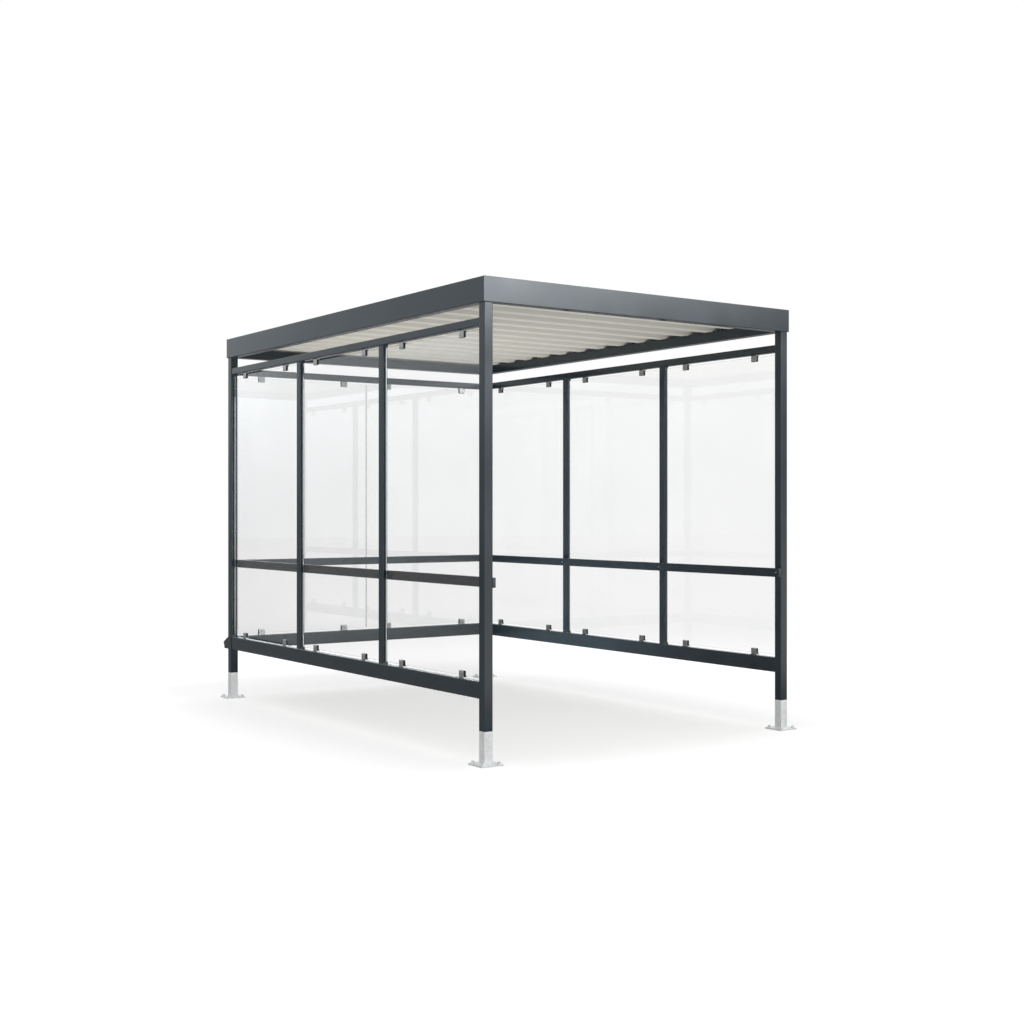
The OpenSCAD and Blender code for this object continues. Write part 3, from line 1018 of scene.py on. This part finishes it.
@dataclass
class Glazing:
    """The panes with ground edges, and the clips and rubbers that hold them."""

    arris: float = 1.2 * MM
    inset: float = 205.0 * MM
    gap: float = 15.0 * MM
    clip_w: float = 50.0 * MM
    clip_t: float = 24.0 * MM
    clip_h: float = 46.0 * MM
    clip_ease: float = 0.7 * MM
    foot_w: float = 64.0 * MM
    foot_t: float = 4.0 * MM
    rubber_t: float = 2.0 * MM
    rubber_low: float = 0.5 * MM
    flange_t: float = 1.2 * MM
    flange_inset: float = 1.6 * MM
    flange_low: float = 7.0 * MM
    glass_t: float = 8.0 * MM
    clamp_screw: tuple[float, ...] = (11.0 * MM, 3.0 * MM, 4.2 * MM)
    clamp_z: float = 29.0 * MM
    nut: Outline = ((5.6 * MM, 0.0), (5.6 * MM, 2.2 * MM), (4.9 * MM, 2.9 * MM))

    PANES = {
        Side.LEFT: ("left_glass_front", "left_glass_middle", "left_glass_rear"),
        Side.RIGHT: ("right_glass_front", "right_glass_middle", "right_glass_rear"),
        Side.REAR: ("rear_glass_left", "rear_glass_right"),
    }

    def pane(self, node: str, wall: Side) -> None:
        """One pane with its ground arrises, marked 1 on its edges.

        Args:
            node: the CAD node it stands for.
            wall: the wall it stands in.
        """
        shell = chamfered_box(*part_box(node), self.arris)
        thin = 0.0 if wall.value[0] else 1.0
        shell.marks = (shell.marks != thin).astype(float)
        make_piece(f"pane_{node}", shell, GLASS, node, smooth_deg=10.0)

    def clip_frames(self, wall: Side) -> tuple[list[Array], list[Array]]:
        """Places and turns of a wall's clips.

        A clip is drawn with its length along X, its outer face towards -Y and
        its rail below it.

        Args:
            wall: the wall.

        Returns:
            Places on the rails and rotations (3, 3).
        """
        outward = np.array([*wall.value, 0.0])
        axis = 1 if wall.value[0] else 0
        places, turns = [], []
        for node in self.PANES[wall]:
            low, high = (np.array(corner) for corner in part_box(node))
            for end, plane in ((1.0, low[2] - self.gap), (-1.0, high[2] + self.gap)):
                for at in (low[axis] + self.inset, high[axis] - self.inset):
                    place = (low + high) / 2
                    place[axis], place[2] = at, plane
                    up = np.array([0.0, 0.0, end])
                    places.append(place)
                    turns.append(np.stack([np.cross(-outward, up), -outward, up], -1))
        return places, turns

    def clip_body(self) -> Shell:
        """A clip: two jaws on a bridge over a foot, all edges eased.

        Formula: the jaws' outline in Y and Z, run along X in four rings whose
        outer ones are drawn in by the easing.
        """
        half, slot, top = self.clip_t / 2, self.glass_t / 2 + self.rubber_t, self.clip_h
        low, x = self.gap - self.rubber_t, self.clip_w / 2
        outline = np.array([(-half, 0.0), (half, 0.0), (half, top), (slot, top),
                            (slot, low), (-slot, low), (-slot, top), (-half, top)])
        inward = [(1, 1), (-1, 1), (-1, -1), (1, -1), (1, -1), (-1, -1), (-1, -1), (1, -1)]
        ease = np.array([0.3, 0.3, 3.2, 0.8, 0.8, 0.8, 0.8, 3.2]) * MM
        flat = rounded(outline, ease, 4)
        drawn = rounded(outline + self.clip_ease * np.array(inward), ease, 4)
        ends = (-x, self.clip_ease - x, x - self.clip_ease, x)
        foot = (self.foot_w / 2, half)
        base = chamfered_box((-foot[0], -foot[1], 0.0), (*foot, self.foot_t), 0.8 * MM)
        return joined([run_along_x((drawn, flat, flat, drawn), ends), base])

    def rubber_part(self, outer: float, low: float, top: float, ends: Range) -> Shell:
        """A U of rubber round the glass.

        Formula: a U outline in Y and Z, with eased corners, run along X.

        Args:
            outer: half its width over the glass.
            low: height of its underside.
            top: height of its two arms.
            ends: where it begins and ends along X.

        Returns:
            The closed surface.
        """
        inner, floor = self.glass_t / 2, self.gap
        flat = rounded([(-outer, low), (outer, low), (outer, top), (inner, top),
                        (inner, floor), (-inner, floor), (-inner, top), (-outer, top)], 0.35 * MM, 3)
        return run_along_x((flat, flat), ends)

    def rubber_body(self) -> Shell:
        """The rubber between jaws and glass, with a flange over each end of the clip."""
        half, far = self.clip_w / 2, self.clip_w / 2 + self.flange_t
        outer, low = self.glass_t / 2 + self.rubber_t, self.gap - self.rubber_t
        liner = self.rubber_part(outer, low, self.clip_h - self.rubber_low, (-half, half))
        inset = self.flange_inset
        flange = (self.clip_t / 2 - inset, self.flange_low, self.clip_h - inset)
        ends = ((-far, -half), (half, far))
        return joined([liner, *(self.rubber_part(*flange, end) for end in ends)])

    def on_jaw(self, shell: Shell, way: int) -> Shell:
        """Turns a screw or nut that looks up to look out of a jaw, towards way along Y."""
        x, y, z = shell.points.T
        return Shell(np.stack([x, way * (self.clip_t / 2 + z), y + self.clamp_z], -1), shell.faces)

    def build(self) -> None:
        """Makes the panes, the clips, their rubbers and their clamp screws."""
        for wall, nodes in self.PANES.items():
            for node in nodes:
                self.pane(node, wall)
        body, rubber = self.clip_body(), self.rubber_body()
        head = self.on_jaw(button_screw(*self.clamp_screw), -1)
        clamp = joined([head, self.on_jaw(lathe(self.nut, 6), 1)])
        rubbers, clamps = [], []
        for wall in self.PANES:
            name = wall.name.lower()
            at = self.clip_frames(wall)
            make_piece(f"{name}_clip_bodies", copies(body, *at), STEEL, f"{name}_glass_clips")
            rubbers.append(copies(rubber, *at))
            clamps.append(copies(clamp, *at))
        make_piece("clip_rubber_pads", joined(rubbers), RUBBER, "clip_rubbers")
        make_piece("clip_clamp_screws", joined(clamps), SCREW_STEEL)


@dataclass
class Roof:
    """The ribbed sheet with its laps and screws, and the folded fascia."""

    places: Layout
    beam_h: float = 70.0 * MM
    pitch: float = 250.0 * MM
    rib_h: float = 38.0 * MM
    crest: float = 85.0 * MM
    slope: float = 40.0 * MM
    bend: float = 5.0 * MM
    sheet: float = 1.0 * MM
    lap_every: int = 4
    lap_share: float = 0.75
    lap_lift: float = 1.15 * MM
    lap_inset: float = 2.0 * MM
    screw: tuple[float, ...] = (8.0 * MM, 5.0 * MM, 16.0 * MM, 2.2 * MM)
    screw_edge: float = 120.0 * MM
    screws_across: int = 6
    fascia_h: float = 150.0 * MM
    fascia_t: float = 3.0 * MM
    fascia_gap: float = 5.0 * MM
    hem: float = 14.0 * MM
    lip: float = 30.0 * MM
    mitre_gap: float = 0.25 * MM

    def rib_points(self, y: float, share: float = 0.0) -> list[tuple[float, float]]:
        """Bends of the rib whose middle is at y, its slopes from a share of their height up."""
        half, top = self.crest / 2, self.rib_h
        run, low = self.slope * (1 - share), top * share
        return [(y - half - run, low), (y - half, top), (y + half, top), (y + half + run, low)]

    def rib_middles(self) -> Array:
        """Middles of the ribs along Y."""
        depth = self.places.rear_y - self.places.front_y
        count = int((depth / 2 - self.crest / 2 - self.slope) / self.pitch + 1e-6)
        return self.places.mid_y + np.arange(-count, count + 1) * self.pitch

    def lap_middles(self) -> Array:
        """Middles of the ribs where two sheets lap."""
        return self.rib_middles()[2 :: self.lap_every]

    def sheet_shell(self, line: Array, lift: float, inset: float) -> Shell:
        """A sheet whose line in Y and Z is run across the shelter.

        Formula: the line and the same line moved up its normals by the sheet's
        thickness make a thin closed outline, run from side to side.

        Args:
            line: array (N, 2) of Y and height over the beams.
            lift: extra height.
            inset: how far the sheet's ends stay inside the posts' faces.

        Returns:
            The closed surface.
        """
        ring = np.vstack([line, offset_line(line, self.sheet)[::-1]])
        ring[:, 1] += self.places.roof_z + self.beam_h + lift
        reach = self.places.half_w - inset
        tube = run_along_x((ring, ring), (-reach, reach))
        count = len(ring)
        i = np.arange(len(line) - 1)
        cap = np.stack([i, i + 1, count - 2 - i, count - 1 - i], -1)
        return Shell(tube.points, [tube.faces[0], cap, cap[:, ::-1] + count])

    def roof_sheet(self) -> None:
        """The ribbed sheet, and the strips of the next sheets that lap over some ribs."""
        corners = [(self.places.front_y, 0.0)]
        for y in self.rib_middles():
            corners += self.rib_points(y)
        corners.append((self.places.rear_y, 0.0))
        line = rounded_line(corners, self.bend, 4)
        keep = np.concatenate([[True], np.linalg.norm(np.diff(line, axis=0), axis=1) > 1e-6])
        sheet = self.sheet_shell(line[keep], 0.0, 0.0)
        make_piece("roof_ribbed_sheet", sheet, ROOF_COAT, "roof_sheet")
        ribs = [self.rib_points(y, self.lap_share) for y in self.lap_middles()]
        edges = [rounded_line(rib, self.bend, 4) for rib in ribs]
        laps = [self.sheet_shell(edge, self.lap_lift, self.lap_inset) for edge in edges]
        make_piece("roof_sheet_laps", joined(laps), ROOF_COAT)

    def roof_screws(self) -> None:
        """Sealed screws through the pans into the side beams, and along the laps."""
        middles = self.rib_middles()
        pans = (middles[1:] + middles[:-1]) / 2
        base = self.places.roof_z + self.beam_h + self.sheet
        crest = base + self.rib_h + self.sheet
        reach = self.places.inner_x - self.screw_edge
        at = [(side * self.places.side_x, y, base) for side in BOTH for y in pans]
        xs = np.linspace(-reach, reach, self.screws_across)
        at += [(x, y, crest) for y in self.lap_middles() for x in xs]
        make_piece("roof_sheet_screws", copies(hex_screw(*self.screw), at), SCREW_STEEL)

    def fascia(self) -> None:
        """The four folded fascia lengths, mitred at the corners.

        Formula: the folded section, with eased bends, run along each edge;
        each point's end lies as far beyond the corner as the point stands out,
        less the mitre's gap.
        """
        inner, out, top = self.fascia_gap, self.fascia_gap + self.fascia_t, self.fascia_h
        fold, under = out - self.lip, top - self.fascia_t
        section = [(0.0, 0.0), (out, 0.0), (out, top), (fold, top), (fold, under),
                   (inner, under), (inner, self.hem), (0.0, self.hem)]
        ring = rounded(section, np.array([0.4, 3, 3.5, 0.7, 0.7, 2, 2, 0.7]) * MM, 5)
        p = self.places
        half_d = (p.rear_y - p.front_y) / 2
        for edge in Side:
            outward = np.array(edge.value)
            stand, half = (p.half_w, half_d) if outward[0] else (half_d, p.half_w)
            face = (0.0, p.mid_y) + outward * (stand + ring[:, :1])
            reach = np.abs(outward[::-1]) * (half + ring[:, :1] - self.mitre_gap)
            rings = [np.column_stack([face + way * reach, p.roof_z + ring[:, 1]]) for way in BOTH]
            node = f"fascia_{edge.name.lower()}"
            make_piece(f"{node}_skin", skin(np.stack(rings)), FASCIA_COAT, node)

    def build(self) -> None:
        """Makes the sheet, its laps and screws, and the fascia."""
        self.roof_sheet()
        self.roof_screws()
        self.fascia()


# ---- the studio ----


@dataclass
class Studio:
    """Floor, background, lamps and camera.

    ambient and mirrored hold the sky's strength at the horizon and overhead,
    for light and for gloss; a pair whose name ends in _x, _y or _z says where,
    along a ray's direction, something fades in.
    """

    lens: float = 49.455
    eye: Point = (-5.7423, -8.6859, 1.4851)
    yaw_deg: float = 34.630
    shift_y: float = -0.00127
    sensor: float = 36.0
    clip: Range = (0.05, 300.0)
    sky_z: Range = (0.0, 0.9)
    ambient: Range = (0.56, 0.80)
    lean: float = 0.12
    horizon_z: Range = (-0.01, 0.16)
    mirrored: Range = (0.36, 0.85)
    mirror_tint: Colour = (0.95, 1.0, 1.04)
    glow: float = 1.2
    glow_x: Range = (0.82, 0.45)
    glow_y: Range = (-0.4, -0.6)
    softbox: float = 12.0
    softbox_x: Range = (0.05, 0.35)
    softbox_z: Range = (0.122, 0.176)
    softbox_top_z: Range = (0.45, 0.30)
    rear_glow: float = 0.4
    rear_x: Range = (-0.46, -0.38)
    rear_y: Range = (0.5, 0.7)
    rear_z: Range = (0.0, 0.1)
    floor_half: float = 60.0
    floor_albedo: float = 0.82
    floor_lift: float = 0.45
    floor_mirrored: float = 0.45
    floor_ahead: float = 0.7
    ahead_depth: Range = (-5.5, -2.5)
    fade: Range = (3.5, 8.0)

    LAMPS = {
        "overhead_lamp": ((0.0, -1.2, 10.0), (0.0, -0.6, 0.0), (1.8, 1.8), 150.0),
        "bounce_lamp": ((0.0, -0.1, 0.03), (0.0, -0.4, 2.7), (1.9, 3.0), 88.0),
    }

    def camera(self) -> None:
        """The level camera at the front left."""
        data = bpy.data.cameras.new("camera")
        data.lens, data.sensor_width, data.shift_y = self.lens, self.sensor, self.shift_y
        data.clip_start, data.clip_end = self.clip
        camera = bpy.data.objects.new("camera", data)
        camera.location = self.eye
        camera.rotation_euler = (math.pi / 2, 0.0, -math.radians(self.yaw_deg))
        bpy.context.scene.collection.objects.link(camera)
        bpy.context.scene.camera = camera

    @staticmethod
    def ray_kinds(tree: Tree) -> tuple[Socket, Socket]:
        """Tells rays that see the ground straight on from those that mirror it.

        Args:
            tree: the tree to add to.

        Returns:
            An output that is 1 from the camera, also through glass, and one
            that is 1 after a glossy reflection, also through glass.
        """
        path = tree.add("LightPath").outputs
        passed = path["Is Transmission Ray"]
        bounced = tree.math("ADD", path["Glossy Depth"], path["Diffuse Depth"], clamp=True)
        straight = tree.times(passed, tree.math("SUBTRACT", 1.0, bounced))
        seen = tree.math("MAXIMUM", path["Is Camera Ray"], straight)
        either = tree.math("MAXIMUM", path["Is Glossy Ray"], passed)
        return seen, tree.math("SUBTRACT", either, seen, clamp=True)

    def mirror_tone(self, tree: Tree, x: Socket, y: Socket, z: Socket) -> Socket:
        """What gloss mirrors: a dim horizon, a softbox at the front right, a glow behind.

        Args:
            tree: the world's tree.
            x: the ray's direction along X.
            y: the same along Y.
            z: the same along Z.

        Returns:
            The output with the strength.
        """
        front = tree.times(tree.ramp(y, *self.glow_y), tree.ramp(x, *self.glow_x))
        window = tree.times(tree.ramp(z, *self.softbox_z), tree.ramp(z, *self.softbox_top_z))
        window = tree.times(tree.times(window, front), tree.ramp(x, *self.softbox_x))
        rear = tree.times(tree.ramp(y, *self.rear_y), tree.ramp(x, *self.rear_x))
        rear = tree.times(rear, tree.ramp(z, *self.rear_z))
        total = tree.ramp(z, *self.horizon_z, self.mirrored)
        for share, strength in ((front, self.glow), (window, self.softbox), (rear, self.rear_glow)):
            total = tree.math("ADD", total, tree.times(share, strength))
        return total

    def world(self) -> None:
        """White where it is seen; a soft sky, brighter towards the front, for the light."""
        world = bpy.data.worlds.new("studio_world")
        world.use_nodes = True
        tree = Tree(world.node_tree)
        x, y, z = tree.add("SeparateXYZ", {0: tree.add("TexCoord").outputs["Generated"]}).outputs
        lean = tree.math("SUBTRACT", 1.0, tree.times(y, self.lean))
        light = tree.times(tree.ramp(z, *self.sky_z, self.ambient), lean)
        seen, mirrored = self.ray_kinds(tree)
        mirror = self.mirror_tone(tree, x, y, z)
        tone = tree.add("Mix", {0: mirrored, 2: light, 3: mirror}).outputs[0]
        strength = tree.add("Mix", {0: seen, 2: tone, 3: 1.0}).outputs[0]
        colour = tree.blend(mirrored, (1.0, 1.0, 1.0), self.mirror_tint)
        shader = tree.add("Background", {"Color": colour, "Strength": strength}).outputs[0]
        tree.add("OutputWorld", {"Surface": shader})
        bpy.context.scene.world = world

    def floor(self) -> None:
        """A pale floor that keeps the shadow and fades to white far away.

        In gloss it is dimmer, but for the part that lies ahead of the open
        front, which shines.
        """
        mesh = bpy.data.meshes.new("studio_floor")
        corners = rectangle(self.floor_half, self.floor_half)
        mesh.from_pydata([(x, y, 0.0) for x, y in corners], [], [(0, 1, 2, 3)])
        floor = bpy.data.objects.new("studio_floor", mesh)
        bpy.context.scene.collection.objects.link(floor)
        material = bpy.data.materials.new("studio_floor")
        material.use_nodes = True
        tree = Tree(material.node_tree)
        seen, mirrored = self.ray_kinds(tree)
        where = tree.place()
        distance = tree.add("VectorMath", {0: where}, operation="LENGTH").outputs["Value"]
        far = tree.times(tree.ramp(distance, *self.fade), seen)
        depth = tree.part(where, "Y")
        aside = tree.ramp(tree.math("DIVIDE", depth, distance), *self.glow_y[::-1])
        other = tree.math("MAXIMUM", tree.ramp(depth, *self.ahead_depth), aside)
        white, dim = ((self.floor_albedo * share,) * 3 for share in (1.0, self.floor_mirrored))
        colour = tree.blend(tree.times(mirrored, other), white, dim)
        matt = tree.add("BsdfDiffuse", {"Color": colour}).outputs[0]
        shine = tree.times(tree.times(mirrored, tree.math("SUBTRACT", 1.0, other)), self.floor_ahead)
        extra = tree.math("ADD", tree.times(seen, self.floor_lift), shine)
        lift = tree.add("Emission", {"Strength": extra}).outputs[0]
        near = tree.add("AddShader", {0: matt, 1: lift}).outputs[0]
        glow = tree.add("Emission", {"Strength": 1.0}).outputs[0]
        mixed = tree.add("MixShader", {0: far, 1: near, 2: glow}).outputs[0]
        tree.add("OutputMaterial", {"Surface": mixed})
        mesh.materials.append(material)

    @staticmethod
    def lamp(name: str, place: Point, aim: Point, size: Range, watts: float) -> None:
        """A soft rectangular lamp that only lights.

        Args:
            name: its name.
            place: where it hangs.
            aim: the point it faces.
            size: width and height.
            watts: its power.
        """
        data = bpy.data.lights.new(name, "AREA")
        data.shape, data.size, data.size_y, data.energy = "RECTANGLE", *size, watts
        lamp = bpy.data.objects.new(name, data)
        lamp.location = place
        lamp.rotation_mode = "QUATERNION"
        lamp.rotation_quaternion = (Vector(place) - Vector(aim)).to_track_quat("Z", "Y")
        lamp.visible_camera = lamp.visible_transmission = lamp.visible_glossy = False
        bpy.context.scene.collection.objects.link(lamp)

    def build(self) -> None:
        """Sets up everything round the shelter."""
        bpy.context.scene.view_settings.view_transform = "Standard"
        self.camera()
        self.world()
        self.floor()
        for name, settings in self.LAMPS.items():
            self.lamp(name, *settings)


def main() -> None:
    """Builds the studio and then each sub-assembly."""
    logging.basicConfig(level=logging.INFO, format="%(message)s")
    places = Layout.read()
    Studio().build()
    for assembly in (SteelFrame(places), Glazing(), Roof(places)):
        LOG.info("building %s", type(assembly).__name__)
        assembly.build()


if __name__ == "__main__":
    main()
